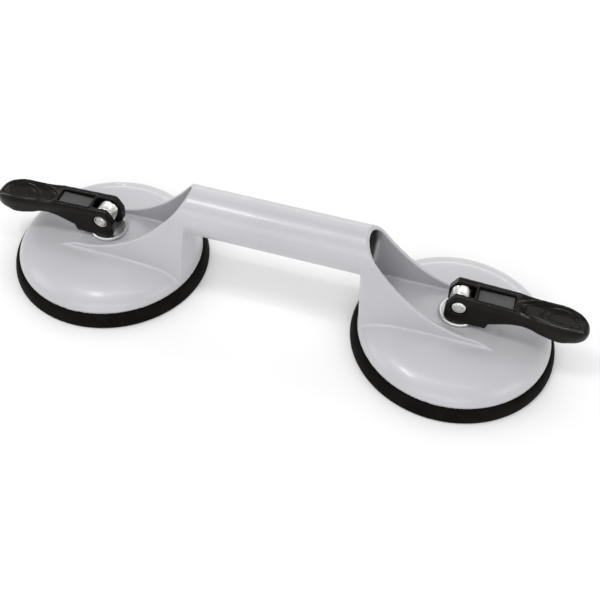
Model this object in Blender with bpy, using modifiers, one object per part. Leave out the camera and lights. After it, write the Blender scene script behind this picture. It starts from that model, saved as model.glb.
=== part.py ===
"""Twin-cup vacuum lifter: a die-cast aluminium body with a tube handle joins two rubber
suction pads, and a cam lever above each pad pulls the middle of the pad upwards.

World frame: origin on the ground midway between the cups, +X towards the right cup,
+Z up.  Each cup has its own frame: x points outwards (away from the handle), z up.
The left cup is the right cup turned half a turn about Z.
Lengths below are in millimetres and angles in degrees; helpers convert to Blender units.
"""
import math

import bmesh
import bpy
from mathutils import Matrix, Vector

MM = 0.001

# ---------------------------------------------------------------- driving dimensions
GAP = 0.3                     # clearance between touching pieces
PAST = 30.0                   # how far a cutter runs past what it cuts
CUP_X = 108.0                 # cup centre from the middle of the handle
ROUND_STEPS = 48              # facets round the cups
SMALL_STEPS = 24              # facets round studs, pins and washers

# tube handle and arches
TUBE_Z = 56.7
TUBE_R = 14.3
BORE_R = 11.7
TUBE_END = 58.0               # half length of the tube before the arch openings trim it
ARCH_R = 14.4                 # arch crown, a hair proud of the tube
ARCH_BASE_HALF = 19.4         # half width of the arch where it would reach ARCH_BASE_Z
ARCH_BASE_Z = 8.9
ARCH_REACH = 60.0             # arch length from the cup axis before the end wall trims it
VOID_R = 12.0                 # crown of the hollow inside the arch
VOID_FLOOR_HALF = 15.4        # half width of that hollow at the platform
END_WALL = 3.2                # thickness of the wall that closes the arch below the tube
END_WALL_FOOT_R = 55.7        # end wall radius about the cup axis at the rim
END_WALL_FOOT_Z = 5.0
END_WALL_TOP_R = 57.6         # and at the height of the tube
END_WALL_TOP_Z = 50.0

# open end of the arch, in the cup frame (x outwards, z up)
PLATFORM_Z = 24.0
PLATFORM_END = 12.5           # outer end of the flat platform
PLATFORM_FOOT = 24.5          # where its sloping end runs out on the dome
PLATFORM_FOOT_Z = 20.5
OPEN_TOP = (-57.0, 71.6)      # arch opening starts at the top of the tube
OPEN_PULL_TOP = (-39.5, 44.5)
OPEN_PULL_LOW = (-18.5, 27.5)
OPEN_LOW = (8.0, 24.0)        # and runs out tangent to the platform

# cup shell
RIM_R = 56.2
RIM_Z = 8.7
DOME_TOP_Z = 21.0
SHELL_PROFILE = [(0, DOME_TOP_Z), (18, 20.9), (30, 20.6), (40, 19.8), (46, 18.5), (50, 16.9),
                 (53, 14.8), (55.2, 12.3), (56.2, 10.8), (56.2, 8.7)]
BUSH_HOLE_R = 6.4
RECESS_R = 11.6
RECESS_DEPTH = 0.6
SEAT_Z = 20.5                 # ceiling of the spring pocket under the platform
HOLLOW_PROFILE = [(13.6, SEAT_Z), (14.4, 17.6), (36, 17.0), (45, 15.6), (50.0, 13.0),
                  (51.4, 10.5), (51.4, 8.0)]

# rubber pad: flat sealing ring outside, shallow cavity inside
PAD_PROFILE = [(8.6, 7.9), (8.6, 9.4), (37.0, 9.4), (40.0, 8.6), (50.0, 8.4), (56.7, 8.4),
               (58.6, 5.6), (59.8, 2.6), (60.0, 1.2), (59.0, 0.0), (46.0, 0.0),
               (40.0, 2.0), (32.0, 3.5)]
PAD_CAVITY_Z = 3.5
PAD_POCKET_Z = 7.9

# pull stud, plate and spring stack
PLATE_Z = 9.7
PLATE_THICK = 1.8
PLATE_R = 36.0
STUD_R = 4.0
STUD_HEAD_R = 8.2
STUD_HEAD_Z = 8.2
STUD_HEAD_THICK = 1.2
EYE_R = 6.2
EYE_HALF = 3.9
NUT_FLATS = 13.0
NUT_HIGH = 4.0
SPRING_R = 11.2               # mean coil radius
SPRING_WIRE = 1.4
SPRING_TURNS = 4.0
SPRING_CEILING = 20.2
BUSH_R = 6.1
BUSH_FLANGE_R = 8.8
WASHER_R = 11.0
WASHER_THICK = 2.0

# cam lever, in its own frame about the pin (x towards the tip, z up)
PIN_Z = 37.2
PIN_R = 3.0
PIN_HEAD_R = 4.2
PIN_HEAD_THICK = 1.6
LEVER_HALF = 9.3
SLOT_HALF = 4.4
SLOT_END = 7.0
CAM_REST = 10.9               # pin to cam flat, lever down
CAM_DROP = 1.9                # how far the pin sinks for each radian the lever is raised
CAM_TURN = 100.0              # lever travel from clamped to released
LEVER_TIP = 72.0
GRIP_HALF = 10.0
POCKET = (8.6, 29.2, 5.0)     # recess in the top of the lever: from, to, half width
POCKET_Z = 3.4
PANEL_THICK = 0.9
PIN_BORE_R = PIN_R + GAP
HEAD_BORE_R = PIN_HEAD_R + GAP
HEAD_BORE_DEPTH = PIN_HEAD_THICK + GAP


# ---------------------------------------------------------------- scene helpers
for old in list(bpy.data.objects):
    bpy.data.objects.remove(old, do_unlink=True)

parts = bpy.data.collections.new("twin_cup_lifter")
cutters = bpy.data.collections.new("cutters")
bpy.context.scene.collection.children.link(parts)
bpy.context.scene.collection.children.link(cutters)


def make_material(name, colour, roughness, metallic):
    """A plain Principled material."""
    made = bpy.data.materials.new(name)
    made.use_nodes = True
    shader = made.node_tree.nodes["Principled BSDF"]
    shader.inputs["Base Color"].default_value = (*colour, 1.0)
    shader.inputs["Roughness"].default_value = roughness
    shader.inputs["Metallic"].default_value = metallic
    return made


LOOKS = {
    "casting": ((0.53, 0.53, 0.56), 0.38, 0.35),
    "rubber": ((0.012, 0.011, 0.010), 0.75, 0.0),
    "steel": ((0.72, 0.72, 0.72), 0.25, 1.0),
    "lever": ((0.014, 0.012, 0.010), 0.30, 0.0),
    "panel": ((0.060, 0.060, 0.062), 0.50, 0.0),
    "bush": ((0.75, 0.74, 0.70), 0.50, 0.0),
}


def as_part(thing, look):
    """Put an object among the parts, with a material of its own."""
    parts.objects.link(thing)
    thing.data.materials.clear()
    thing.data.materials.append(make_material(thing.name + "_material", *LOOKS[look]))
    return thing


def as_cutter(thing):
    """Put an object among the cutters, out of every render."""
    cutters.objects.link(thing)
    thing.hide_render = True
    thing.display_type = "WIRE"
    return thing


def boolean(target, tool, operation):
    """Add an exact boolean to the target."""
    step = target.modifiers.new(operation.lower() + "_" + tool.name, "BOOLEAN")
    step.operation = operation
    step.solver = "EXACT"
    step.object = tool


def cup_matrix(side):
    """Cup frame to world: side is 1 for the right cup and -1 for the left one."""
    turn = 0.0 if side > 0 else math.pi
    return Matrix.Translation((side * CUP_X * MM, 0, 0)) @ Matrix.Rotation(turn, 4, "Z")


def turned(name, profile, steps, matrix=Matrix.Identity(4)):
    """Turn a profile of (radius, height) round Z.  A closed ring repeats no point."""
    mesh = bpy.data.meshes.new(name)
    ring = profile[0][0] > 0 and profile[-1][0] > 0
    edges = [(i, i + 1) for i in range(len(profile) - 1)]
    if ring:
        edges.append((len(profile) - 1, 0))
    mesh.from_pydata([(r * MM, 0, z * MM) for r, z in profile], edges, [])
    thing = bpy.data.objects.new(name, mesh)
    thing.matrix_world = matrix
    spin = thing.modifiers.new("turn", "SCREW")
    spin.steps = steps
    spin.render_steps = steps
    spin.use_merge_vertices = True
    spin.merge_threshold = 0.00001
    return thing


def ring_profile(inner, outer, low, high):
    """Profile of a plain washer or sleeve, down the outer side first."""
    return [(outer, high), (outer, low), (inner, low), (inner, high)]


def disc_profile(radius, low, high):
    """Profile of a plain cylinder."""
    return [(0, high), (radius, high), (radius, low), (0, low)]


PLANES = {
    "XY": Matrix.Identity(4),
    "XZ": Matrix.Rotation(math.pi / 2, 4, "X"),
    "YZ": Matrix.Rotation(math.pi / 2, 4, "Z") @ Matrix.Rotation(math.pi / 2, 4, "X"),
}


def extruded(name, outline, low, high, plane, matrix=Matrix.Identity(4)):
    """Solid from a flat outline, between two distances along the plane's normal.

    The normal is +Z for XY, -Y for XZ and +X for YZ.
    """
    curve = bpy.data.curves.new(name, "CURVE")
    curve.dimensions = "2D"
    curve.fill_mode = "BOTH"
    curve.extrude = (high - low) / 2 * MM
    spline = curve.splines.new("POLY")
    spline.points.add(len(outline) - 1)
    for point, (a, b) in zip(spline.points, outline):
        point.co = (a * MM, b * MM, 0, 1)
    spline.use_cyclic_u = True
    drawn = bpy.data.objects.new(name, curve)
    bpy.context.scene.collection.objects.link(drawn)
    graph = bpy.context.evaluated_depsgraph_get()
    mesh = bpy.data.meshes.new_from_object(drawn.evaluated_get(graph))
    bpy.data.objects.remove(drawn, do_unlink=True)
    welded = bmesh.new()
    welded.from_mesh(mesh)
    bmesh.ops.remove_doubles(welded, verts=welded.verts, dist=0.000001)
    bmesh.ops.recalc_face_normals(welded, faces=welded.faces)
    welded.to_mesh(mesh)
    welded.free()
    mesh.transform(PLANES[plane] @ Matrix.Translation((0, 0, (high + low) / 2 * MM)))
    mesh.name = name
    thing = bpy.data.objects.new(name, mesh)
    thing.matrix_world = matrix
    return thing


def bezier(p0, p1, p2, p3, count):
    """Points along a cubic curve, ends included."""
    points = []
    for i in range(count + 1):
        t = i / count
        weights = ((1 - t) ** 3, 3 * t * (1 - t) ** 2, 3 * t * t * (1 - t), t ** 3)
        points.append(tuple(sum(w * p[k] for w, p in zip(weights, (p0, p1, p2, p3)))
                            for k in range(2)))
    return points


def arc(cx, cz, radius, start, end, count):
    """Points along a circular arc, angles in degrees, ends included."""
    angles = [math.radians(start + (end - start) * i / count) for i in range(count + 1)]
    return [(cx + radius * math.cos(a), cz + radius * math.sin(a)) for a in angles]


# ---------------------------------------------------------------- body casting
def arch_outline(crown_r, foot_half, foot_z):
    """Inverted U: legs that lean outwards going down, under a round crown."""
    crown = arc(0, TUBE_Z, crown_r, 0, 180, 20)
    return crown + [(-foot_half, foot_z), (foot_half, foot_z)]


def opening_outline():
    """Side view of what is cut away above the platform and the arch's open end."""
    rim = bezier(OPEN_LOW, OPEN_PULL_LOW, OPEN_PULL_TOP, OPEN_TOP, 14)
    slope = (PLATFORM_Z - PLATFORM_FOOT_Z) / (PLATFORM_FOOT - PLATFORM_END)
    top = TUBE_Z + PAST
    return [(PLATFORM_FOOT + 1, PLATFORM_FOOT_Z - slope), (PLATFORM_END, PLATFORM_Z), *rim,
            (OPEN_TOP[0], top), (PLATFORM_FOOT + 1, top)]


def cup_solids(side, name):
    """Steps that add one cup's arch and shell to the tube, and tools that hollow them."""
    frame = cup_matrix(side)
    arch = as_cutter(extruded(name + "_arch", arch_outline(ARCH_R, ARCH_BASE_HALF, ARCH_BASE_Z),
                              -ARCH_REACH, PLATFORM_FOOT, "YZ", frame))
    top = TUBE_Z + PAST
    end_wall = [(0, top), (END_WALL_TOP_R, top), (END_WALL_TOP_R, END_WALL_TOP_Z),
                (END_WALL_FOOT_R, END_WALL_FOOT_Z), (0, END_WALL_FOOT_Z)]
    boolean(arch, as_cutter(turned(name + "_end_wall", end_wall, 96, frame)), "INTERSECT")
    opening = as_cutter(extruded(name + "_opening", opening_outline(), -PAST, PAST, "XZ",
                                 frame))
    shell = as_cutter(turned(name + "_shell", SHELL_PROFILE + [(0, RIM_Z)], ROUND_STEPS, frame))
    void = as_cutter(extruded(name + "_void", arch_outline(VOID_R, VOID_FLOOR_HALF, PLATFORM_Z),
                              END_WALL - END_WALL_FOOT_R, PLATFORM_END - 2, "YZ", frame))
    recess_z = PLATFORM_Z - RECESS_DEPTH
    core = [(0, PIN_Z), (RECESS_R, PIN_Z), (RECESS_R, recess_z), (BUSH_HOLE_R, recess_z),
            (BUSH_HOLE_R, SEAT_Z), *HOLLOW_PROFILE, (0, 8.0)]
    hollow = as_cutter(turned(name + "_hollow", core, ROUND_STEPS, frame))
    return [(arch, "UNION"), (opening, "DIFFERENCE"), (shell, "UNION")], [void, hollow]


def build_casting():
    """One piece: tube handle, two arches, two domed cups, all hollow."""
    bpy.ops.mesh.primitive_cylinder_add(vertices=ROUND_STEPS, radius=TUBE_R * MM,
                                        depth=2 * TUBE_END * MM,
                                        location=(0, 0, TUBE_Z * MM),
                                        rotation=(0, math.pi / 2, 0))
    casting = bpy.context.object
    casting.name = "body_casting"
    for holder in list(casting.users_collection):
        holder.objects.unlink(casting)
    as_part(casting, "casting")
    tools = []
    for side, name in ((1, "right"), (-1, "left")):
        steps, removed = cup_solids(side, name)
        for solid, operation in steps:
            boolean(casting, solid, operation)
        tools += removed
    bore = turned("tube_bore", disc_profile(BORE_R, -TUBE_END, TUBE_END), 36,
                  Matrix.Translation((0, 0, TUBE_Z * MM)) @ Matrix.Rotation(math.pi / 2, 4, "Y"))
    tools.append(as_cutter(bore))
    for tool in tools:
        boolean(casting, tool, "DIFFERENCE")


build_casting()


# ---------------------------------------------------------------- one cup's fittings
def cam_point(turn):
    """Point of the cam that is lowest when the lever is raised by turn radians.

    The cam's depth below the pin falls by CAM_DROP for each radian, so this is the
    envelope of its tangent lines.
    """
    depth = CAM_REST - CAM_DROP * turn
    return (-depth * math.sin(turn) + CAM_DROP * math.cos(turn),
            -depth * math.cos(turn) - CAM_DROP * math.sin(turn))


def lever_side_outline():
    """Side view of the lever, anticlockwise from the top of its end face."""
    cam = [cam_point(math.radians(CAM_TURN) * (1 - i / 12)) for i in range(13)]
    finger_arch = bezier((17.6, -6.9), (25.0, -4.6), (33.0, 0.6), (43.0, -4.0), 8)
    grip = bezier((43.0, -4.0), (50.0, -6.2), (60.0, -6.8), (67.0, -5.8), 6)
    tip = bezier((67.0, -5.8), (72.6, -4.8), (LEVER_TIP + 1.2, -0.6), (66.0, 1.2), 6)
    top = bezier((66.0, 1.2), (54.0, 3.2), (44.0, 3.0), (31.0, 5.6), 6)
    return [(-3.6, 6.9), *cam, (16.5, -CAM_REST), *finger_arch, *grip[1:], *tip[1:],
            *top[1:]]


def lever_plan_outline():
    """Plan view of the lever: parallel fork, slightly wider grip, round tip."""
    side = [(-12.0, -LEVER_HALF)]
    side += bezier((36.0, -LEVER_HALF), (44.0, -LEVER_HALF), (50.0, -GRIP_HALF),
                   (60.0, -GRIP_HALF), 5)
    side += arc(LEVER_TIP - GRIP_HALF, 0, GRIP_HALF, -80, 0, 8)
    return side + [(x, -y) for x, y in reversed(side[:-1])]


def build_lever(name, holder):
    """Cam lever with its fork, pin bores and the recess for the panel."""
    at_pin = Matrix.Translation((0, 0, PIN_Z * MM))
    lever = as_part(extruded(name, lever_side_outline(), -PAST, PAST, "XZ", at_pin), "lever")
    recess_from, recess_to, recess_half = POCKET
    recess = [(recess_from, -recess_half), (recess_to, -recess_half),
              (recess_to, recess_half), (recess_from, recess_half)]
    slot = [(-PAST, -SLOT_HALF), (SLOT_END, -SLOT_HALF), (SLOT_END, SLOT_HALF),
            (-PAST, SLOT_HALF)]
    sideways = at_pin @ Matrix.Rotation(math.pi / 2, 4, "X")
    bores = disc_profile(PIN_BORE_R, -PAST, PAST)
    inner = LEVER_HALF - HEAD_BORE_DEPTH
    steps = [
        (extruded(name + "_plan", lever_plan_outline(), -PAST, PAST, "XY", at_pin), "INTERSECT"),
        (extruded(name + "_slot", slot, -PAST, PAST, "XY", at_pin), "DIFFERENCE"),
        (extruded(name + "_pocket", recess, POCKET_Z, PAST, "XY", at_pin), "DIFFERENCE"),
        (turned(name + "_pin_bore", bores, SMALL_STEPS, sideways), "DIFFERENCE"),
        (turned(name + "_near_bore", disc_profile(HEAD_BORE_R, inner, PAST), SMALL_STEPS,
                sideways), "DIFFERENCE"),
        (turned(name + "_far_bore", disc_profile(HEAD_BORE_R, -PAST, -inner), SMALL_STEPS,
                sideways), "DIFFERENCE"),
    ]
    for tool, operation in steps:
        tool.parent = holder
        boolean(lever, as_cutter(tool), operation)
    panel = as_part(extruded(name + "_panel", [(x + math.copysign(GAP, recess_from + 5 - x), y
                                                - math.copysign(GAP, y)) for x, y in recess],
                             POCKET_Z + GAP, POCKET_Z + GAP + PANEL_THICK, "XY", at_pin),
                    "panel")
    lever.parent = holder
    panel.parent = holder


def build_stud(name, holder):
    """Pull stud: head under the plate, round shank, flat eye for the pin."""
    low = STUD_HEAD_Z
    eye_z = PIN_Z
    shank = [(0, eye_z - 2), (STUD_R, eye_z - 2), (STUD_R, low + STUD_HEAD_THICK),
             (STUD_HEAD_R, low + STUD_HEAD_THICK), (STUD_HEAD_R, low), (0, low)]
    stud = as_part(turned(name, shank, SMALL_STEPS), "steel")
    eye = extruded(name + "_eye", arc(0, eye_z, EYE_R, 0, 345, 23), -EYE_HALF, EYE_HALF, "XZ")
    bore = turned(name + "_eye_bore", disc_profile(PIN_BORE_R, -PAST, PAST), SMALL_STEPS,
                  Matrix.Translation((0, 0, eye_z * MM)) @ Matrix.Rotation(math.pi / 2, 4, "X"))
    for tool, operation in ((eye, "UNION"), (bore, "DIFFERENCE")):
        tool.parent = holder
        boolean(stud, as_cutter(tool), operation)
    stud.parent = holder


def build_spring(name, low, high, holder):
    """Compression spring: a helix of round wire between two heights."""
    curve = bpy.data.curves.new(name, "CURVE")
    curve.dimensions = "3D"
    curve.bevel_depth = SPRING_WIRE / 2 * MM
    curve.bevel_resolution = 2
    curve.use_fill_caps = True
    per_turn = 14
    count = int(SPRING_TURNS * per_turn)
    spline = curve.splines.new("POLY")
    spline.points.add(count)
    first = low + SPRING_WIRE / 2
    rise = high - low - SPRING_WIRE
    for i, point in enumerate(spline.points):
        angle = 2 * math.pi * i / per_turn
        z = first + rise * i / count
        point.co = (SPRING_R * MM * math.cos(angle), SPRING_R * MM * math.sin(angle), z * MM, 1)
    spring = bpy.data.objects.new(name, curve)
    as_part(spring, "steel")
    spring.parent = holder


def build_nut(name, low, holder):
    """Thin hexagon nut on the stud, above the plate."""
    corner = NUT_FLATS / 2 / math.cos(math.pi / 6)
    hexagon = arc(0, 0, corner, 0, 300, 5)
    nut = as_part(extruded(name, hexagon, low, low + NUT_HIGH, "XY"), "steel")
    bore = turned(name + "_bore", disc_profile(STUD_R + GAP, 0, 40), SMALL_STEPS)
    bore.parent = holder
    boolean(nut, as_cutter(bore), "DIFFERENCE")
    nut.parent = holder


def build_fittings(side, name):
    """Everything that belongs to one cup and isn't cast."""
    holder = bpy.data.objects.new(name + "_cup_frame", None)
    parts.objects.link(holder)
    holder.matrix_world = cup_matrix(side)

    pad_inside = [(0, PAD_POCKET_Z)] + PAD_PROFILE + [(0, PAD_CAVITY_Z)]
    plate_top = PLATE_Z + PLATE_THICK
    washer_low = PLATFORM_Z - RECESS_DEPTH + GAP
    bush = [(BUSH_R, washer_low - GAP), (BUSH_R, SPRING_CEILING), (BUSH_FLANGE_R, SPRING_CEILING),
            (BUSH_FLANGE_R, SPRING_CEILING - 1.5), (STUD_R + GAP, SPRING_CEILING - 1.5),
            (STUD_R + GAP, washer_low - GAP)]
    sideways = Matrix.Translation((0, 0, PIN_Z * MM)) @ Matrix.Rotation(math.pi / 2, 4, "X")
    outer = LEVER_HALF - 0.1
    inner = outer - PIN_HEAD_THICK
    pin = [(0, outer), (PIN_HEAD_R, outer), (PIN_HEAD_R, inner), (PIN_R, inner),
           (PIN_R, -outer), (0, -outer)]
    pieces = [
        (turned(name + "_rubber_pad", pad_inside, ROUND_STEPS), "rubber"),
        (turned(name + "_pad_plate", ring_profile(STUD_R + GAP, PLATE_R, PLATE_Z, plate_top),
                ROUND_STEPS), "steel"),
        (turned(name + "_guide_bush", bush, SMALL_STEPS), "bush"),
        (turned(name + "_wear_washer", ring_profile(STUD_R + 2 * GAP, WASHER_R, washer_low,
                                                    washer_low + WASHER_THICK), 36), "steel"),
        (turned(name + "_pivot_pin", pin, SMALL_STEPS, sideways), "steel"),
        (turned(name + "_pin_retainer", ring_profile(PIN_R + GAP, PIN_HEAD_R, -inner - 1.2,
                                                     -inner), SMALL_STEPS, sideways), "steel"),
    ]
    for piece, look in pieces:
        as_part(piece, look)
        piece.parent = holder
    build_stud(name + "_pull_stud", holder)
    build_nut(name + "_stud_nut", plate_top + GAP, holder)
    build_spring(name + "_return_spring", plate_top + GAP, SPRING_CEILING, holder)
    build_lever(name + "_lever", holder)


build_fittings(1, "right")
build_fittings(-1, "left")
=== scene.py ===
"""Looks of the twin-cup vacuum lifter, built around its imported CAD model.

Lengths in the constants are millimetres unless a name says otherwise; MM turns them into
Blender's metres.  A cup frame has its origin under the cup's axis on the ground, x pointing
outwards and z up: the left cup is the right cup turned half a turn about Z.  The lever frame
is the cup frame moved up to the pivot pin.
"""
import math

import bmesh
import bpy
import numpy as np
from mathutils import Matrix, Vector


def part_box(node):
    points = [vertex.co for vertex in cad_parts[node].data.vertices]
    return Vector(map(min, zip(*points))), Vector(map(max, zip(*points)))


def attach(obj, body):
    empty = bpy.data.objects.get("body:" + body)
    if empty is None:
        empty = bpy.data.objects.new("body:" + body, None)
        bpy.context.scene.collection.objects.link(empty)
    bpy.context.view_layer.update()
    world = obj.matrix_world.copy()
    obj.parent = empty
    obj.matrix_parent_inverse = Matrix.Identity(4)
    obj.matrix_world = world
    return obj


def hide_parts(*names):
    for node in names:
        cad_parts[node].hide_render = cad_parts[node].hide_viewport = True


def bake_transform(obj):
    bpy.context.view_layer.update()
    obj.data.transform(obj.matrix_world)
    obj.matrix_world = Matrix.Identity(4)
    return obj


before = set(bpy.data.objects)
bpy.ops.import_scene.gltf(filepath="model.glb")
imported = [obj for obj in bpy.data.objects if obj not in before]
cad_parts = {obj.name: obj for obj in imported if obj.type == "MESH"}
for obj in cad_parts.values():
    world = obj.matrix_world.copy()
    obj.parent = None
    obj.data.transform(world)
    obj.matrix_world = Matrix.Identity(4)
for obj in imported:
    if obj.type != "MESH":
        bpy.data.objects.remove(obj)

MM = 0.001
SIDES = {"right": 1, "left": -1}
IDENTITY = Matrix.Identity(4)

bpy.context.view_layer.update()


# ---------------------------------------------------------------- sizes read from the frame
def middle(node):
    """Centre of a CAD node's box, in millimetres."""
    low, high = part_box(node)
    return (low + high) / 2 / MM


def top_of(node):
    """Highest point of a CAD node, in millimetres."""
    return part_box(node)[1].z / MM


def bottom_of(node):
    """Lowest point of a CAD node, in millimetres."""
    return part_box(node)[0].z / MM


CUP_X = middle("right_wear_washer").x
PIN_Z = middle("right_pivot_pin").z
RIM_Z = bottom_of("body_casting")
RIM_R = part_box("body_casting")[1].x / MM - CUP_X
ARCH_R = 14.4
TUBE_Z = top_of("body_casting") - ARCH_R
PAD_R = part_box("right_rubber_pad")[1].y / MM
PAD_TOP = top_of("right_rubber_pad")
WASHER_LOW = bottom_of("right_wear_washer")
WASHER_TOP = top_of("right_wear_washer")
WASHER_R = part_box("right_wear_washer")[1].y / MM
SPRING_LOW = bottom_of("right_return_spring")
SPRING_TOP = top_of("right_return_spring")
STUD_LOW = bottom_of("right_pull_stud")
EYE_R = top_of("right_pull_stud") - PIN_Z

# ---------------------------------------------------------------- sizes of the casting
TUBE_R = 14.3
BORE_R = 11.7
BORE_SHADE_REACH = 58.0              # shade is painted into the bore this far from the middle
BORE_SHADE_FADE = 4.0
TUBE_END = 58.0
ARCH_BASE_HALF = 19.4
ARCH_BASE_Z = 8.9
ARCH_REACH = 60.0
VOID_R = 12.0
VOID_FLOOR_HALF = 15.4
END_WALL = 3.2
END_WALL_FOOT_R = 55.7        # the end wall leans: its radius at the foot and at the top
END_WALL_FOOT_Z = 5.0
END_WALL_TOP_R = 57.6
END_WALL_TOP_Z = 50.0
PLATFORM_Z = 24.0
PLATFORM_END = 12.5
PLATFORM_FOOT = 24.5
PLATFORM_FOOT_Z = 20.5
OPEN_TOP = (-57.0, 71.6)
OPEN_PULL_TOP = (-39.5, 44.5)
OPEN_PULL_LOW = (-18.5, 27.5)
OPEN_LOW = (8.0, 24.0)
DOME_TOP_Z = 21.0
PAST = 30.0                   # how far a cutting tool reaches past the piece
RECESS_R = 11.6
RECESS_DEPTH = 0.6
BUSH_HOLE_R = 6.4
SEAT_Z = 20.5
BORE_SHADE_R = BORE_R + 0.6         # painted bore shade covers the bore and the softened skin round it
CUP_STEPS = 192
TUBE_STEPS = 96
CAST_VOXEL = 0.55
CAST_ROUNDS = 3
CAST_FACES = 190000

# ---------------------------------------------------------------- sizes of the lever
LEVER_HALF = 9.3
LEVER_BACK_X = -3.4           # back end of the flat top, which falls gently to the grip
LEVER_TOP_Z = 6.9
LEVER_SLOPE = 0.041
FLAT_END = 31
GRIP_TOP = [(31, 5.5), (36, 4.5), (42, 3.7), (48, 3.2), (54, 2.9), (60, 2.4), (66, 1.5),
            (74, -1.0)]       # distance from the pin, height
SLOT_HALF = 4.4
SLOT_END = 7.0
LEVER_TIP = 72.0
GRIP_HALF = 10.0
POCKET = (8.6, 29.2, 5.0)
POCKET_Z = 3.4
HEEL_X = -7.5
HEEL_Z = -10.9
HEEL_R = 4.0
PIN_BORE_R = 3.5
HEAD_BORE_R = 4.7
HEAD_BORE_DEPTH = 2.1
TIP_MIDDLE = 62.0
THUMB_RINGS = [(50.0, 18.4, 8.0, False), (50.0, 15.8, 6.4, False),   # middle, half length,
               (55.2, 10.8, 5.9, True), (56.7, 8.4, 4.1, True)]      # half width, full ring
RING_WIDTH = 0.8
RING_HEIGHT = 0.2
RING_CREST = 0.5              # crest that the material adds to each ring
CREST_WIDTH = 0.6
HALF_RING_END = 43.0
POCKET_BEAD = 0.42
EDGE_BEAD = 0.35
EDGE_BEAD_Y = 7.7
BEAD_WIDTH = 0.5
SCOOP_DEPTH = 1.25
SIDE_LEAN = 0.6
TIP_ROLL = 1.1
LEVER_VOXEL = 0.33
LEVER_ROUNDS = 6
POLISH_ROUNDS = 2

# ---------------------------------------------------------------- sizes of the fittings
PAD_MIDDLE_R = 37.0           # outer edge of the pad's raised middle
PAD_STEPS = 144
WASHER_HOLE_R = 4.6
PIN_R = 3.0
PIN_HEAD_R = 4.2
PIN_HEAD_THICK = 1.6
MARK_R = 2.2
MARK_ANGLES = (40, 160, 280)
RETAINER_R = 3.3
STUD_HEAD_R = 8.2
STUD_HEAD_THICK = 1.2
EYE_HALF = 3.9
NUT_BORE_R = 4.3
BORE_STEPS = 48
FITTING_STEPS = 64


# ---------------------------------------------------------------- mesh helpers
def add(name, mesh):
    """New object in the scene from a mesh."""
    thing = bpy.data.objects.new(name, mesh)
    bpy.context.scene.collection.objects.link(thing)
    return thing


def mesh_from(name, build):
    """Mesh made by a function that fills a bmesh, with its faces pointing out."""
    work = bmesh.new()
    build(work)
    bmesh.ops.remove_doubles(work, verts=work.verts, dist=0.000002)
    bmesh.ops.recalc_face_normals(work, faces=work.faces)
    mesh = bpy.data.meshes.new(name)
    work.to_mesh(mesh)
    work.free()
    return mesh


def turned(name, profile, steps, matrix=IDENTITY):
    """Solid of revolution about Z from (radius, height) points.

    A profile that starts and ends on the axis is a solid; any other is closed as a ring.
    """
    def build(work):
        verts = [work.verts.new((r * MM, 0, z * MM)) for r, z in profile]
        edges = [work.edges.new(pair) for pair in zip(verts, verts[1:])]
        if profile[0][0] > 0 or profile[-1][0] > 0:
            edges.append(work.edges.new((verts[-1], verts[0])))
        bmesh.ops.spin(work, geom=verts + edges, cent=(0, 0, 0), axis=(0, 0, 1),
                       angle=2 * math.pi, steps=steps, use_merge=True)
    thing = add(name, mesh_from(name, build))
    thing.data.transform(matrix)
    return thing


PLANES = {
    "XY": IDENTITY,
    "XZ": Matrix.Rotation(math.pi / 2, 4, "X"),
    "YZ": Matrix.Rotation(math.pi / 2, 4, "Z") @ Matrix.Rotation(math.pi / 2, 4, "X"),
}


def extruded(name, outline, low, high, plane, matrix=IDENTITY):
    """Solid between two distances along a plane's normal: +Z for XY, -Y for XZ, +X for YZ."""
    def build(work):
        face = work.faces.new([work.verts.new((a * MM, b * MM, low * MM)) for a, b in outline])
        moved = bmesh.ops.extrude_face_region(work, geom=[face])
        top = [v for v in moved["geom"] if isinstance(v, bmesh.types.BMVert)]
        bmesh.ops.translate(work, verts=top, vec=(0, 0, (high - low) * MM))
    thing = add(name, mesh_from(name, build))
    thing.data.transform(matrix @ PLANES[plane])
    return thing


def bezier(p0, p1, p2, p3, count):
    """Points along a cubic curve, ends included."""
    points = []
    for i in range(count + 1):
        t = i / count
        weights = ((1 - t) ** 3, 3 * t * (1 - t) ** 2, 3 * t * t * (1 - t), t ** 3)
        points.append(tuple(sum(w * p[k] for w, p in zip(weights, (p0, p1, p2, p3)))
                            for k in range(2)))
    return points


def arc(cx, cy, radius, start, end, count):
    """Points along a circular arc, angles in degrees, ends included."""
    angles = [math.radians(start + (end - start) * i / count) for i in range(count + 1)]
    return [(cx + radius * math.cos(a), cy + radius * math.sin(a)) for a in angles]


def rod(radius, low, high):
    """Profile of a plain cylinder."""
    return [(0, low), (radius, low), (radius, high), (0, high)]


def rectangle(start, end, half):
    """Outline from one x to another, equally wide on both sides."""
    return [(start, -half), (end, -half), (end, half), (start, half)]


def smooth_step(value, low, high):
    """0 below low, 1 above high, smooth between; works on arrays."""
    t = np.clip((value - low) / (high - low), 0, 1)
    return t * t * (3 - 2 * t)


def settle(thing):
    """Turn an object's modifiers into its mesh."""
    graph = bpy.context.evaluated_depsgraph_get()
    mesh = bpy.data.meshes.new_from_object(thing.evaluated_get(graph))
    thing.modifiers.clear()
    thing.data = mesh
    return thing


def carve(thing, steps):
    """Apply exact booleans one after another, and remove the tools."""
    for tool, operation in steps:
        step = thing.modifiers.new("carve", "BOOLEAN")
        step.operation = operation
        step.solver = "EXACT"
        step.object = tool
        settle(thing)
        bpy.data.objects.remove(tool, do_unlink=True)
    return thing


def soften(thing, rounds):
    """Even out a fine mesh, a little in each round."""
    step = thing.modifiers.new("soften", "SMOOTH")
    step.factor = 0.5
    step.iterations = rounds
    settle(thing)
    thing.data.shade_smooth()


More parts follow.
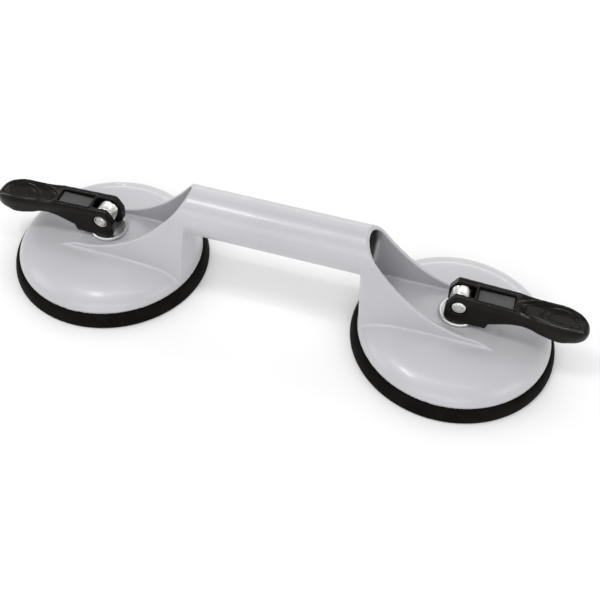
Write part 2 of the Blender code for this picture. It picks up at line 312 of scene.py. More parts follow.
def cast(thing, voxel, rounds, most_faces=None):
    """Remesh finely and soften every edge, as a mould leaves it."""
    grid = thing.modifiers.new("grid", "REMESH")
    grid.mode = "VOXEL"
    grid.voxel_size = voxel * MM
    soften(thing, rounds)
    faces = 2 * len(thing.data.polygons)
    if most_faces and faces > most_faces:
        thin = thing.modifiers.new("thin", "DECIMATE")
        thin.ratio = most_faces / faces
        settle(thing)
    thing.data.shade_smooth()
    return thing


def shade(thing, angle):
    """Smooth shading, broken where faces meet at more than an angle in degrees."""
    thing.data.shade_smooth()
    thing.data.set_sharp_from_angle(angle=math.radians(angle))


def rounded(thing, width):
    """Round a mesh's sharp edges and shade it smooth."""
    bevel = thing.modifiers.new("round", "BEVEL")
    bevel.width = width * MM
    bevel.segments = 3
    bevel.limit_method = "ANGLE"
    bevel.angle_limit = math.radians(30)
    settle(thing)
    shade(thing, 30)


def cup_matrix(side):
    """Cup frame to world, in metres."""
    turn = 0.0 if side > 0 else math.pi
    return Matrix.Translation((side * CUP_X * MM, 0, 0)) @ Matrix.Rotation(turn, 4, "Z")


AT_PIN = Matrix.Translation((0, 0, PIN_Z * MM))
SIDEWAYS = AT_PIN @ Matrix.Rotation(math.pi / 2, 4, "X")


# ---------------------------------------------------------------- materials
def node_material(name, colour, roughness, metallic=0.0):
    """A Principled material and the tools to build on it."""
    made = bpy.data.materials.new(name)
    made.use_nodes = True
    shader = made.node_tree.nodes["Principled BSDF"]
    shader.inputs["Base Color"].default_value = (*colour, 1.0)
    shader.inputs["Roughness"].default_value = roughness
    shader.inputs["Metallic"].default_value = metallic
    return made, made.node_tree, shader


def object_coordinates(tree, scale=(1, 1, 1)):
    """Texture coordinates in metres on the piece itself, stretched by scale."""
    source = tree.nodes.new("ShaderNodeTexCoord")
    mapping = tree.nodes.new("ShaderNodeMapping")
    mapping.inputs["Scale"].default_value = scale
    tree.links.new(source.outputs["Object"], mapping.inputs["Vector"])
    return mapping.outputs["Vector"]


def noise(tree, vector, scale, detail=4.0):
    """Noise value; scale is the number of cells in a metre."""
    made = tree.nodes.new("ShaderNodeTexNoise")
    made.inputs["Scale"].default_value = scale
    made.inputs["Detail"].default_value = detail
    tree.links.new(vector, made.inputs["Vector"])
    return made.outputs["Fac"]


def ramp(tree, value, stops):
    """Colour or grey ramp over a value; stops are (position, colour)."""
    made = tree.nodes.new("ShaderNodeValToRGB")
    while len(made.color_ramp.elements) < len(stops):
        made.color_ramp.elements.new(0.5)
    for element, (position, colour) in zip(made.color_ramp.elements, stops):
        element.position = position
        element.color = (*colour, 1.0)
    tree.links.new(value, made.inputs["Fac"])
    return made.outputs["Color"]


def grey(value):
    """A grey as a colour."""
    return (value, value, value)


def mix(tree, factor, first, second):
    """Mix two colour outputs by a factor output."""
    made = tree.nodes.new("ShaderNodeMix")
    made.data_type = "RGBA"
    tree.links.new(factor, made.inputs["Factor"])
    tree.links.new(first, made.inputs["A"])
    tree.links.new(second, made.inputs["B"])
    return made.outputs["Result"]


def bump(tree, shader, height, distance, strength):
    """Raise the surface by a height value; distance is in metres."""
    made = tree.nodes.new("ShaderNodeBump")
    made.inputs["Distance"].default_value = distance
    made.inputs["Strength"].default_value = strength
    tree.links.new(height, made.inputs["Height"])
    tree.links.new(made.outputs["Normal"], shader.inputs["Normal"])


def edges_of(tree, low, high):
    """1 on a piece's outward edges and 0 elsewhere."""
    geometry = tree.nodes.new("ShaderNodeNewGeometry")
    return ramp(tree, geometry.outputs["Pointiness"], [(low, grey(0)), (high, grey(1))])


def calculate(tree, operation, first, second):
    """Maths node on two values, each an output or a number."""
    made = tree.nodes.new("ShaderNodeMath")
    made.operation = operation
    for value, socket in zip((first, second), made.inputs):
        if isinstance(value, (int, float)):
            socket.default_value = value
        else:
            tree.links.new(value, socket)
    return made.outputs[0]


def hypotenuse(tree, first, second):
    """Length of a vector with two parts."""
    squares = [calculate(tree, "MULTIPLY", part, part) for part in (first, second)]
    return calculate(tree, "SQRT", calculate(tree, "ADD", *squares), 0.0)


def object_position(tree):
    """X, Y and Z on the piece itself, in metres."""
    source = tree.nodes.new("ShaderNodeTexCoord")
    parts = tree.nodes.new("ShaderNodeSeparateXYZ")
    tree.links.new(source.outputs["Object"], parts.inputs["Vector"])
    return parts.outputs["X"], parts.outputs["Y"], parts.outputs["Z"]


def bore_shade_mask(tree):
    """1 where near-black shade is painted into the handle's bore, fading to 0 towards its ends.
    """
    x, y, z = object_position(tree)
    radius = hypotenuse(tree, calculate(tree, "SUBTRACT", z, TUBE_Z * MM), y)
    along = calculate(tree, "ABSOLUTE", x, 0.0)
    within = calculate(tree, "LESS_THAN", radius, BORE_SHADE_R * MM)
    inner = calculate(tree, "SUBTRACT", BORE_SHADE_REACH * MM, along)
    fade = tree.nodes.new("ShaderNodeClamp")
    tree.links.new(calculate(tree, "MULTIPLY", inner, 1 / (BORE_SHADE_FADE * MM)),
                   fade.inputs["Value"])
    return calculate(tree, "MULTIPLY", within, fade.outputs[0])


def lacquer():
    """Smooth pale lilac-grey lacquer over die-cast aluminium."""
    made, tree, shader = node_material("grey_lacquer", (0.52, 0.52, 0.55), 0.42, 0.1)
    where = object_coordinates(tree)
    patches = ramp(tree, noise(tree, where, 22), [(0.3, (0.450, 0.450, 0.472)),
                                                  (0.7, (0.490, 0.490, 0.514))])
    flakes = ramp(tree, noise(tree, where, 5200, 1), [(0.35, grey(0.0)), (0.75, grey(0.5))])
    bright = ramp(tree, noise(tree, where, 900), [(0.0, (0.60, 0.60, 0.63)),
                                                  (1.0, (0.66, 0.66, 0.69))])
    speckled = mix(tree, flakes, patches, bright)
    # paler outward edges: a painted highlight along the edges, with some edge wear
    worn_and_highlit = ramp(tree, noise(tree, where, 160), [(0.0, (0.72, 0.72, 0.74)),
                                                (1.0, (0.80, 0.80, 0.81))])
    lacquered = mix(tree, edges_of(tree, 0.53, 0.62), speckled, worn_and_highlit)
    # near-black painted shade inside the handle's bore
    bore_shade = ramp(tree, noise(tree, where, 300), [(0.2, grey(0.03)), (0.8, grey(0.07))])
    tree.links.new(mix(tree, bore_shade_mask(tree), lacquered, bore_shade), shader.inputs["Base Color"])
    tree.links.new(ramp(tree, noise(tree, where, 70), [(0.3, grey(0.38)), (0.7, grey(0.48))]),
                   shader.inputs["Roughness"])
    bump(tree, shader, noise(tree, where, 420, 2), 0.00006, 0.3)
    shader.inputs["Coat Weight"].default_value = 0.3
    shader.inputs["Coat Roughness"].default_value = 0.12
    return made


def black_rubber():
    """Matt black moulded rubber with a faint bloom and fine moulding texture."""
    made, tree, shader = node_material("black_rubber", (0.008, 0.007, 0.006), 0.75)
    where = object_coordinates(tree)
    tree.links.new(ramp(tree, noise(tree, where, 90), [(0.3, (0.003, 0.0025, 0.002)),
                                                       (0.75, (0.007, 0.006, 0.005))]),
                   shader.inputs["Base Color"])
    tree.links.new(ramp(tree, noise(tree, where, 260), [(0.3, grey(0.62)), (0.7, grey(0.8))]),
                   shader.inputs["Roughness"])
    bump(tree, shader, noise(tree, where, 1800, 3), 0.00008, 0.4)
    shader.inputs["Specular IOR Level"].default_value = 0.06
    return made


def thumb_rings(tree):
    """Height of the crisp crests on the rings of both thumb rests, 0 to 1."""
    x, y, z = object_position(tree)
    out = calculate(tree, "SUBTRACT", calculate(tree, "ABSOLUTE", x, 0.0), CUP_X * MM)
    total = calculate(tree, "MULTIPLY", out, 0.0)
    for centre, long, wide, whole in THUMB_RINGS:
        along = calculate(tree, "DIVIDE", calculate(tree, "SUBTRACT", out, centre * MM),
                          long * MM)
        across = calculate(tree, "DIVIDE", y, wide * MM)
        level = hypotenuse(tree, along, across)
        off = calculate(tree, "DIVIDE", calculate(tree, "SUBTRACT", level, 1.0),
                        CREST_WIDTH / wide)
        crest = calculate(tree, "MAXIMUM", calculate(
            tree, "SUBTRACT", 1.0, calculate(tree, "MULTIPLY", off, off)), 0.0)
        if not whole:
            ended = calculate(tree, "LESS_THAN", out, HALF_RING_END * MM)
            crest = calculate(tree, "MULTIPLY", crest, ended)
        total = calculate(tree, "MAXIMUM", total, crest)
    above = calculate(tree, "GREATER_THAN", z, (PIN_Z - 1) * MM)
    return calculate(tree, "MULTIPLY", total, above)


def lever_plastic():
    """Black moulded plastic with a gloss, and paler edges: partly rubbing wear, partly a painted
    highlight.
    """
    made, tree, shader = node_material("black_lever_plastic", (0.008, 0.007, 0.006), 0.3)
    where = object_coordinates(tree)
    body = ramp(tree, noise(tree, where, 120), [(0.3, (0.003, 0.0025, 0.0018)),
                                                (0.7, (0.007, 0.0055, 0.004))])
    # paler outward edges: a painted highlight along the edges, with some rubbing wear
    rubbed_and_highlit = ramp(tree, noise(tree, where, 200), [(0.2, grey(0.05)), (0.8, grey(0.10))])
    tree.links.new(mix(tree, edges_of(tree, 0.54, 0.60), body, rubbed_and_highlit),
                   shader.inputs["Base Color"])
    tree.links.new(ramp(tree, noise(tree, where, 500), [(0.3, grey(0.13)), (0.7, grey(0.19))]),
                   shader.inputs["Roughness"])
    bump(tree, shader, thumb_rings(tree), RING_CREST * MM, 1.0)
    shader.inputs["Specular IOR Level"].default_value = 0.14
    return made


def panel_plastic():
    """Dark grey matt inlay with a fine stipple."""
    made, tree, shader = node_material("grey_panel_plastic", (0.05, 0.05, 0.052), 0.55)
    where = object_coordinates(tree)
    stipple = noise(tree, where, 3200, 2)
    tree.links.new(ramp(tree, stipple, [(0.3, (0.035, 0.034, 0.034)),
                                        (0.7, (0.085, 0.084, 0.086))]),
                   shader.inputs["Base Color"])
    bump(tree, shader, stipple, 0.0001, 0.6)
    return made


def plated_steel(name, colour, roughness, stretch):
    """Plated steel with fine tool marks along one direction."""
    made, tree, shader = node_material(name, colour, roughness, 1.0)
    where = object_coordinates(tree, stretch)
    marks = noise(tree, where, 900, 5)
    darker = tuple(0.8 * c for c in colour)
    tree.links.new(ramp(tree, marks, [(0.3, darker), (0.7, colour)]),
                   shader.inputs["Base Color"])
    tree.links.new(ramp(tree, marks, [(0.25, grey(roughness * 0.7)),
                                      (0.75, grey(roughness * 1.4))]),
                   shader.inputs["Roughness"])
    bump(tree, shader, marks, 0.00003, 0.3)
    return made


def acetal():
    """Off-white acetal, slightly translucent looking, with a faint grain."""
    made, tree, shader = node_material("acetal", (0.70, 0.69, 0.64), 0.42)
    where = object_coordinates(tree)
    tree.links.new(ramp(tree, noise(tree, where, 300), [(0.3, (0.64, 0.63, 0.57)),
                                                        (0.7, (0.74, 0.73, 0.69))]),
                   shader.inputs["Base Color"])
    bump(tree, shader, noise(tree, where, 1500), 0.00004, 0.3)
    return made


def floor_paper():
    """Plain white studio paper."""
    made, tree, shader = node_material("studio_paper", (0.93, 0.93, 0.93), 0.85)
    where = object_coordinates(tree)
    tree.links.new(ramp(tree, noise(tree, where, 40), [(0.2, grey(0.925)), (0.8, grey(0.94))]),
                   shader.inputs["Base Color"])
    shader.inputs["Specular IOR Level"].default_value = 0.2
    return made


LACQUER = lacquer()
RUBBER = black_rubber()
LEVER_PLASTIC = lever_plastic()
PANEL_PLASTIC = panel_plastic()
WASHER_STEEL = plated_steel("bright_washer_steel", (0.93, 0.93, 0.93), 0.36, (1, 1, 6))
STUD_STEEL = plated_steel("bright_nickel_steel", (0.83, 0.82, 0.79), 0.2, (1, 4, 1))
PLATE_STEEL = plated_steel("zinc_plate_steel", (0.62, 0.62, 0.64), 0.34, (1, 6, 1))
SPRING_STEEL = plated_steel("spring_steel", (0.46, 0.46, 0.48), 0.3, (1, 1, 3))
ACETAL = acetal()


def place(thing, body, look, slot, *nodes):
    """Give a finished piece its material and body, and hide the CAD nodes it stands for; slot is
    not used.
    """
    thing.data.materials.clear()
    thing.data.materials.append(look)
    if nodes:
        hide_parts(*nodes)
    if body:
        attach(thing, body)


# ---------------------------------------------------------------- casting
def arch_outline(crown_r, foot_half, foot_z):
    """Inverted U: legs that lean outwards going down, under a round crown."""
    return arc(0, TUBE_Z, crown_r, 0, 180, 40) + [(-foot_half, foot_z), (foot_half, foot_z)]


def opening_outline():
    """Side view of what is cut away above the platform and the arch's open end."""
    rim = bezier(OPEN_LOW, OPEN_PULL_LOW, OPEN_PULL_TOP, OPEN_TOP, 48)
    slope = (PLATFORM_Z - PLATFORM_FOOT_Z) / (PLATFORM_FOOT - PLATFORM_END)
    top = TUBE_Z + PAST
    return [(PLATFORM_FOOT + 1, PLATFORM_FOOT_Z - slope), (PLATFORM_END, PLATFORM_Z), *rim,
            (OPEN_TOP[0], top), (PLATFORM_FOOT + 1, top)]


def dome_profile():
    """Top of the cup from its axis out to the rim, with a thin lip round the edge."""
    crown = bezier((0, DOME_TOP_Z), (26, DOME_TOP_Z), (37, 20.6), (44.0, 19.0), 14)
    shoulder = bezier((44.0, 19.0), (49.2, 17.8), (53.9, 15.2), (RIM_R - 0.8, 11.8), 12)
    lip = [(RIM_R - 0.6, 11.0), (RIM_R, 10.6), (RIM_R, RIM_Z)]
    return crown + shoulder[1:] + lip + [(0, RIM_Z)]


def hollow_profile():
    """Washer recess, bush hole, spring pocket and hollow underside of a cup."""
    recess_z = PLATFORM_Z - RECESS_DEPTH
    return [(0, PIN_Z), (RECESS_R, PIN_Z), (RECESS_R, recess_z), (BUSH_HOLE_R, recess_z),
            (BUSH_HOLE_R, SEAT_Z), (13.6, SEAT_Z), (14.4, 17.6), (36, 17.0), (45, 15.6),
            (50.0, 13.0), (51.4, 10.5), (51.4, RIM_Z - 1), (0, RIM_Z - 1)]


def cup_tools(side, name):
    """Solids that are added to the casting for one cup, and those that hollow it."""
    here = cup_matrix(side)
    top = TUBE_Z + PAST
    arch = extruded(name + "_arch", arch_outline(ARCH_R, ARCH_BASE_HALF, ARCH_BASE_Z),
                    -ARCH_REACH, PLATFORM_FOOT, "YZ")
    wall = turned(name + "_wall", [(0, END_WALL_FOOT_Z), (END_WALL_FOOT_R, END_WALL_FOOT_Z),
                                   (END_WALL_TOP_R, END_WALL_TOP_Z), (END_WALL_TOP_R, top),
                                   (0, top)], CUP_STEPS)
    opening = extruded(name + "_opening", opening_outline(), -PAST, PAST, "XZ")
    carve(arch, [(wall, "INTERSECT")])
    shell = turned(name + "_shell", dome_profile(), CUP_STEPS)
    void = extruded(name + "_void", arch_outline(VOID_R, VOID_FLOOR_HALF, PLATFORM_Z),
                    END_WALL - END_WALL_FOOT_R, PLATFORM_END - 2, "YZ")
    hollow = turned(name + "_hollow", hollow_profile(), TUBE_STEPS)
    for tool in (arch, opening, shell, void, hollow):
        tool.data.transform(here)
    return ([(arch, "UNION"), (opening, "DIFFERENCE"), (shell, "UNION")],
            [(void, "DIFFERENCE"), (hollow, "DIFFERENCE")])


def build_casting():
    """Tube handle, arches and cups in one piece, with cast fillets."""
    along = Matrix.Translation((0, 0, TUBE_Z * MM)) @ Matrix.Rotation(math.pi / 2, 4, "Y")
    casting = turned("casting_skin", rod(TUBE_R, -TUBE_END, TUBE_END), TUBE_STEPS, along)
    added, removed = [], []
    for name, side in SIDES.items():
        more, less = cup_tools(side, name)
        added += more
        removed += less
    bore = turned("bore", rod(BORE_R, -TUBE_END, TUBE_END), TUBE_STEPS, along)
    carve(casting, added + removed + [(bore, "DIFFERENCE")])
    cast(casting, CAST_VOXEL, CAST_ROUNDS, CAST_FACES)
    place(casting, "root", LACQUER, "casting", "body_casting")


# ---------------------------------------------------------------- rubber pads
def pad_profile():
    """Moulded pad: beaded outer lip, ribbed sealing face, thin middle with a stud pocket."""
    outer = bezier((PAD_R - 3.2, 8.4), (PAD_R - 1.6, 8.2), (PAD_R - 0.2, 4.6), (PAD_R, 1.3), 10)
    toe = arc(PAD_R - 1.0, 1.0, 1.0, 0, -90, 5)
    ribs = []
    for rib in range(4):
        start = PAD_R - 2.6 - 2.9 * rib
        ribs += [(start, 0.0), (start - 0.5, 0.55), (start - 1.1, 0.55), (start - 1.6, 0.0)]
    cavity = bezier((46.0, 0.0), (42.0, 1.2), (38.0, 3.3), (32.0, 3.5), 8)
    top = [(0, 7.9), (8.6, 7.9), (8.6, PAD_TOP), (PAD_MIDDLE_R, PAD_TOP), (40.0, 8.6),
           (50.0, 8.4)]
    return top + outer + toe[1:] + ribs + cavity + [(0, 3.5)]


def radial_blend(pad):
    """Bake the pad's placement into its mesh."""
    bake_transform(pad)


def build_pad(name, side):
    """One rubber suction pad."""
    pad = turned(name + "_rubber_skin", pad_profile(), PAD_STEPS, cup_matrix(side))
    shade(pad, 50)
    place(pad, None, RUBBER, "rubber", name + "_rubber_pad")
    radial_blend(pad)


# ---------------------------------------------------------------- cam lever
def lever_top(x):
    """Height of the lever's top face along its length."""
    flat = LEVER_TOP_Z - LEVER_SLOPE * (x - LEVER_BACK_X)
    grip = np.interp(x, *zip(*GRIP_TOP))
    return np.where(x < FLAT_END, flat, grip)


def lever_side_outline():
    """Side view of the lever, anticlockwise from the top of its end face."""
    heel = arc(HEEL_X + HEEL_R, HEEL_Z + HEEL_R, HEEL_R, 180, 270, 10)
    finger_arch = bezier((17.6, -6.9), (25.0, -4.6), (33.0, 0.6), (43.0, -4.0), 20)
    grip = bezier((43.0, -4.0), (50.0, -6.6), (58.0, -7.6), (66.0, -7.4), 12)
    tip = bezier((66.0, -7.4), (LEVER_TIP + 2.0, -7.2), (LEVER_TIP + 2.0, -0.8), (66.0, 1.6), 18)
    top = [(x, float(lever_top(np.array(x)))) for x in range(64, 3, -3)]
    return [(-3.2, LEVER_TOP_Z), (-3.8, 6.4), (-7.7, -0.6), *heel, (16.5, HEEL_Z), *finger_arch,
            *grip[1:], *tip[1:], *top]


def lever_plan_outline():
    """Plan view: parallel fork, slightly wider grip, round tip."""
    side = [(-12.0, -LEVER_HALF)]
    side += bezier((36.0, -LEVER_HALF), (42.0, -LEVER_HALF), (48.0, -GRIP_HALF),
                   (56.0, -GRIP_HALF), 12)
    side += bezier((56.0, -GRIP_HALF), (65.0, -GRIP_HALF), (LEVER_TIP, -6.6),
                   (LEVER_TIP, 0.0), 20)[1:]
    return side + [(x, -y) for x, y in reversed(side[:-1])]


def box_distance(x, y, low, high, half):
    """Distance outside a rectangle in plan, negative inside."""
    dx = np.maximum(low - x, x - high)
    dy = np.abs(y) - half
    outside = np.hypot(np.maximum(dx, 0), np.maximum(dy, 0))
    return outside + np.minimum(np.maximum(dx, dy), 0)


def ridge(distance, width):
    """Rounded ridge where a distance is zero."""
    return np.exp(-(distance / width) ** 2)


def oval_distance(x, y, centre, long, wide):
    """Roughly the distance from an ellipse in plan, negative inside."""
    level = np.maximum(np.hypot((x - centre) / long, y / wide), 0.05)
    slope = np.hypot((x - centre) / long ** 2, y / wide ** 2) / level
    return (level - 1) / np.maximum(slope, 0.02)


def sculpt_lever(mesh):
    """Draft on the sides, beads round the pocket, and the scooped, ridged thumb rest."""
    count = len(mesh.vertices)
    flat = np.zeros(count * 3, np.float32)
    mesh.vertices.foreach_get("co", flat)
    points = flat.reshape(-1, 3).astype(float) / MM
    normals = np.zeros(count * 3, np.float32)
    mesh.vertices.foreach_get("normal", normals)
    up = smooth_step(normals.reshape(-1, 3)[:, 2], 0.5, 0.85)
    x, y, z = points[:, 0], points[:, 1], points[:, 2] - PIN_Z
    below_top = lever_top(x) - z
    on_top = up * (1 - smooth_step(below_top, 1.2, 2.0))
    flat_top = on_top * (1 - smooth_step(x, 60, 66)) * (below_top < 1.0)
    low, high, half = POCKET
    rim = box_distance(x, y, low, high, half)
    bead = POCKET_BEAD * ridge(rim - 0.7, BEAD_WIDTH) * (rim > 0)
    bead += EDGE_BEAD * ridge(np.abs(y) - EDGE_BEAD_Y, BEAD_WIDTH) * smooth_step(-x, -31, -27)
    rest = smooth_step(x, 30.5, 36) * smooth_step(-x, -71, -66)
    scoop = -SCOOP_DEPTH * rest * (1 - smooth_step(np.abs(y), 3.5, 8.4))
    rings = np.zeros(count)
    for centre, long, wide, whole in THUMB_RINGS:
        outline = ridge(oval_distance(x, y, centre, long, wide), RING_WIDTH)
        if not whole:
            outline = outline * (1 - smooth_step(x, 40, 45))
        rings = np.maximum(rings, RING_HEIGHT * outline)
    points[:, 2] += flat_top * below_top + on_top * (bead + scoop + rings)
    lean = smooth_step(-below_top, -2.6, 0.0) * (1 - smooth_step(x, 56, 62))
    points[:, 1] -= np.sign(y) * lean * SIDE_LEAN * smooth_step(np.abs(y), 6.5, 9.2)
    middle_z = lever_top(x) / 2 - 3.7
    away = np.clip(np.abs(z - middle_z) / (lever_top(x) - middle_z), 0, 1) ** 3
    reach = np.maximum(np.hypot(x - TIP_MIDDLE, y), 1.0)
    roll = TIP_ROLL * away * smooth_step(x, 56, 63) * smooth_step(reach, 5, 9.5)
    points[:, 0] -= roll * (x - TIP_MIDDLE) / reach
    points[:, 1] -= roll * y / reach
    mesh.vertices.foreach_set("co", (points * MM).astype(np.float32).ravel())
    mesh.update()


def lever_shape():
    """Lever mesh in the cup frame: fork, slot, pocket and pin bores, with moulded edges."""
    recess = rectangle(*POCKET)
    slot = rectangle(-PAST, SLOT_END, SLOT_HALF)
    inner = LEVER_HALF - HEAD_BORE_DEPTH
    lever = extruded("lever_shape", lever_side_outline(), -PAST, PAST, "XZ", AT_PIN)
    carve(lever, [
        (extruded("plan", lever_plan_outline(), -PAST, PAST, "XY", AT_PIN), "INTERSECT"),
        (extruded("slot", slot, -PAST, PAST, "XY", AT_PIN), "DIFFERENCE"),
        (extruded("recess", recess, POCKET_Z, PAST, "XY", AT_PIN), "DIFFERENCE"),
        (turned("bore", rod(PIN_BORE_R, -PAST, PAST), BORE_STEPS, SIDEWAYS), "DIFFERENCE"),
        (turned("near_bore", rod(HEAD_BORE_R, inner, PAST), BORE_STEPS, SIDEWAYS),
         "DIFFERENCE"),
        (turned("far_bore", rod(HEAD_BORE_R, -PAST, -inner), BORE_STEPS, SIDEWAYS),
         "DIFFERENCE"),
    ])
    cast(lever, LEVER_VOXEL, LEVER_ROUNDS)
    sculpt_lever(lever.data)
    soften(lever, POLISH_ROUNDS)
    mesh = lever.data
    bpy.data.objects.remove(lever, do_unlink=True)
    return mesh


def build_lever(name, side, shape):
    """One cam lever and its inlay."""
    lever = add(name + "_lever_skin", shape.copy())
    lever.data.transform(cup_matrix(side))
    place(lever, name + "_cam_lever", LEVER_PLASTIC, "lever", name + "_lever")
    low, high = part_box("right_lever_panel")
    outline = rectangle(low.x / MM - CUP_X, high.x / MM - CUP_X, (high.y - low.y) / 2 / MM)
    panel = extruded(name + "_panel_inlay", outline, low.z / MM, high.z / MM, "XY",
                     cup_matrix(side))
    rounded(panel, 0.25)
    place(panel, name + "_cam_lever", PANEL_PLASTIC, "panel", name + "_lever_panel")


# ---------------------------------------------------------------- turned fittings
def build_washer(name, side):
    """Wear washer with broken edges and one shallow wear track."""
    track = WASHER_TOP - 0.08
    profile = [(WASHER_HOLE_R, WASHER_LOW), (WASHER_R - 0.3, WASHER_LOW),
               (WASHER_R, WASHER_LOW + 0.3), (WASHER_R, WASHER_TOP - 0.5),
               (WASHER_R - 0.5, WASHER_TOP), (9.6, WASHER_TOP), (9.3, track), (6.2, track),
               (5.9, WASHER_TOP), (5.0, WASHER_TOP), (WASHER_HOLE_R, WASHER_TOP - 0.4)]
    washer = turned(name + "_washer_ring", profile, TUBE_STEPS, cup_matrix(side))
    shade(washer, 40)
    place(washer, "root", WASHER_STEEL, "washer", name + "_wear_washer")


def build_pin(name, side):
    """Pivot pin with a domed head, and the retaining ring on its other end."""
    here = cup_matrix(side) @ SIDEWAYS
    face = LEVER_HALF - 0.1
    under = face - PIN_HEAD_THICK
    head = bezier((0, face), (2.6, face), (4.0, face - 0.15), (PIN_HEAD_R, face - 0.8), 8)
    tail = [(PIN_R, -face + 0.5), (2.5, -face), (1.1, -face), (0.8, -face + 0.35),
            (0, -face + 0.45)]
    pin = turned(name + "_pin", head + [(PIN_HEAD_R, under), (PIN_R, under)] + tail,
                 FITTING_STEPS, here)
    marks = []
    for angle in MARK_ANGLES:
        spot = Matrix.Translation((MARK_R * MM * math.cos(math.radians(angle)),
                                   MARK_R * MM * math.sin(math.radians(angle)), face * MM))
        mark = turned("mark", [(0, -0.9), (0.5, -0.8), (0.75, 0.3), (0, 0.3)], 16, here @ spot)
        marks.append((mark, "DIFFERENCE"))
    carve(pin, marks)
    shade(pin, 35)
    place(pin, name + "_pull", STUD_STEEL, "stud", name + "_pivot_pin")
    profile = [(RETAINER_R, -under), (PIN_HEAD_R, -under), (PIN_HEAD_R, -under - 0.7),
               (3.9, -under - 1.2), (3.5, -under - 1.2), (RETAINER_R, -under - 0.9)]
    ring = turned(name + "_pin_ring", profile, FITTING_STEPS, here)
    shade(ring, 35)
    place(ring, name + "_pull", STUD_STEEL, "stud", name + "_pin_retainer")


def build_stud(name, side):
    """Pull stud: head under the plate, threaded shank, flat rounded eye on the pin."""
    thread = []
    pitch, crest, root = 1.0, 4.0, 3.55
    for turn in range(5):
        z = STUD_LOW + 3.3 + pitch * turn
        thread += [(root, z), (crest, z + 0.35 * pitch), (crest, z + 0.5 * pitch)]
    head_top = STUD_LOW + STUD_HEAD_THICK
    profile = [(0, STUD_LOW), (STUD_HEAD_R - 0.2, STUD_LOW), (STUD_HEAD_R, STUD_LOW + 0.3),
               (STUD_HEAD_R, head_top), (crest, head_top), *thread, (crest, STUD_LOW + 9.0),
               (crest, PIN_Z - 2), (0, PIN_Z - 2)]
    stud = turned(name + "_stud", profile, FITTING_STEPS)
    eye = extruded("eye", arc(0, PIN_Z, EYE_R, 0, 354, 59), -EYE_HALF, EYE_HALF, "XZ")
    rounded(eye, 0.7)
    bore = turned("eye_bore", rod(PIN_BORE_R, -PAST, PAST), BORE_STEPS, SIDEWAYS)
    carve(stud, [(eye, "UNION"), (bore, "DIFFERENCE")])
    stud.data.transform(cup_matrix(side))
    shade(stud, 40)
    place(stud, name + "_pull", STUD_STEEL, "stud", name + "_pull_stud")


def build_nut(name, side):
    """Thin hexagon nut with chamfered corners."""
    low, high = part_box(name + "_stud_nut")
    flats = min(high.x - low.x, high.y - low.y) / MM
    corner = flats / 2 / math.cos(math.pi / 6)
    base, top = low.z / MM, high.z / MM
    nut = extruded(name + "_nut", arc(0, 0, corner, 0, 300, 5), base, top, "XY")
    dome = turned("dome", [(0, base), (corner - 0.7, base), (corner, base + 0.5),
                           (corner, top - 0.5), (corner - 0.7, top), (0, top)],
                  FITTING_STEPS)
    bore = turned("nut_bore", rod(NUT_BORE_R, 0, PIN_Z), BORE_STEPS)
    carve(nut, [(dome, "INTERSECT"), (bore, "DIFFERENCE")])
    nut.data.transform(cup_matrix(side))
    shade(nut, 30)
    place(nut, name + "_pull", PLATE_STEEL, "plate", name + "_stud_nut")


def build_spring(name, side):
    """Return spring with its end coils closed flat."""
    wire, radius = 1.4, 11.2
    turns, per_turn = 5.0, 40
    curve = bpy.data.curves.new(name + "_coil", "CURVE")
    curve.dimensions = "3D"
    curve.bevel_depth = wire / 2 * MM
    curve.bevel_resolution = 5
    curve.use_fill_caps = True
    count = int(turns * per_turn)
    spline = curve.splines.new("POLY")
    spline.points.add(count)
    rise = SPRING_TOP - SPRING_LOW - wire
    for i, point in enumerate(spline.points):
        turn = turns * i / count
        share = float(smooth_step(np.array(turn / turns), 0.08, 0.92))
        angle = 2 * math.pi * turn
        point.co = (radius * MM * math.cos(angle), radius * MM * math.sin(angle),
                    (SPRING_LOW + wire / 2 + rise * (0.3 * turn / turns + 0.7 * share)) * MM, 1)
    drawn = add("coil", curve)
    graph = bpy.context.evaluated_depsgraph_get()
    mesh = bpy.data.meshes.new_from_object(drawn.evaluated_get(graph))
    bpy.data.objects.remove(drawn, do_unlink=True)
    welded = bmesh.new()
    welded.from_mesh(mesh)
    bmesh.ops.remove_doubles(welded, verts=welded.verts, dist=0.000002)
    welded.to_mesh(mesh)
    welded.free()
    mesh.transform(cup_matrix(side))
    mesh.shade_smooth()
    spring = add(name + "_spring", mesh)
    place(spring, None, SPRING_STEEL, "spring", name + "_return_spring")
    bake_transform(spring)


def dress_hidden_nodes(name):
    """Better materials for the CAD nodes whose shape is already right."""
    for node, look in ((name + "_guide_bush", ACETAL), (name + "_pad_plate", PLATE_STEEL)):
        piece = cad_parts[node]
        piece.data.materials.clear()
        piece.data.materials.append(look)


build_casting()
shape = lever_shape()
for name, side in SIDES.items():
    build_pad(name, side)
    build_lever(name, side, shape)
    build_washer(name, side)
    build_pin(name, side)
    build_stud(name, side)
    build_nut(name, side)
    build_spring(name, side)
    dress_hidden_nodes(name)


# ---------------------------------------------------------------- studio
FLOOR_HALF = 3.0              # metres
LENS = 54.0
CAMERA_AT = (0.108272, -0.349256, 0.411303)
CAMERA_YAW = -0.262           # radians, from +Y towards +X
CAMERA_PITCH = 0.848          # radians, downwards
CAMERA_ROLL = -0.044
WORLD_STRENGTH = 0.66


def add_floor():
    """White paper floor under the pads."""
    def build(work):
        bmesh.ops.create_grid(work, x_segments=1, y_segments=1, size=FLOOR_HALF)
    floor = add("floor", mesh_from("floor", build))
    floor.location.z = -0.00005
    floor.data.materials.append(floor_paper())


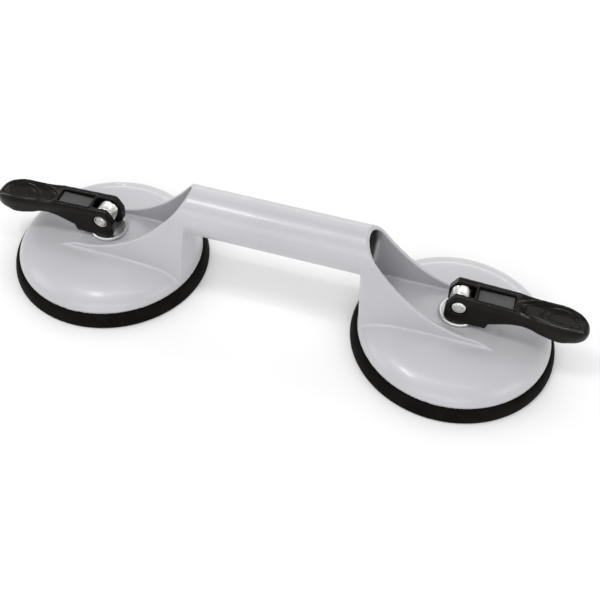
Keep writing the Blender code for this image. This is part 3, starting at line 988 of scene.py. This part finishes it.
def add_light(name, place_at, target, size, power):
    """Soft rectangular lamp aimed at a point."""
    lamp = bpy.data.lights.new(name, "AREA")
    lamp.shape = "RECTANGLE"
    lamp.size, lamp.size_y = size
    lamp.energy = power
    holder = bpy.data.objects.new(name, lamp)
    bpy.context.scene.collection.objects.link(holder)
    holder.location = place_at
    aim = Vector(target) - Vector(place_at)
    holder.rotation_euler = aim.to_track_quat("-Z", "Y").to_euler()


def add_camera():
    """Camera at the photograph's viewing angle."""
    yaw, pitch, roll = CAMERA_YAW, CAMERA_PITCH, CAMERA_ROLL
    forward = Vector((math.sin(yaw) * math.cos(pitch), math.cos(yaw) * math.cos(pitch),
                      -math.sin(pitch)))
    level = Vector((math.cos(yaw), -math.sin(yaw), 0))
    down = forward.cross(level)
    right = math.cos(roll) * level + math.sin(roll) * down
    low = math.cos(roll) * down - math.sin(roll) * level
    camera = bpy.data.cameras.new("camera")
    camera.lens = LENS
    holder = bpy.data.objects.new("camera", camera)
    bpy.context.scene.collection.objects.link(holder)
    turn = Matrix((right, -low, -forward)).transposed().to_4x4()
    holder.matrix_world = Matrix.Translation(CAMERA_AT) @ turn
    bpy.context.scene.camera = holder


def add_world():
    """Even white surroundings, shown without a film curve."""
    world = bpy.data.worlds.new("studio")
    world.use_nodes = True
    backdrop = world.node_tree.nodes["Background"]
    backdrop.inputs["Color"].default_value = (1, 1, 1, 1)
    backdrop.inputs["Strength"].default_value = WORLD_STRENGTH
    bpy.context.scene.world = world
    bpy.context.scene.view_settings.view_transform = "Standard"


add_floor()
add_light("overhead_strip", (0.0, -0.12, 1.1), (0, 0, 0), (1.2, 0.05), 1.2)
add_light("back_softbox", (0.0, 0.95, 0.95), (0, 0, 0), (1.8, 0.5), 2.4)
add_light("back_strip", (0.0, 1.3, 0.42), (0, 0, 0.03), (1.8, 0.08), 4.0)
add_light("front_fill", (0.1, -1.3, 0.6), (0, 0, 0.03), (1.6, 0.7), 4.2)
for side in SIDES.values():
    add_light("side_fill", (side * 1.2, -0.3, 0.7), (side * 0.1, 0, 0.03), (0.6, 0.6), 2.2)
add_light("front_lamp", (-0.28, -0.2, 0.95), (0, 0, 0.02), (0.2, 0.12), 1.3)
add_camera()
add_world()
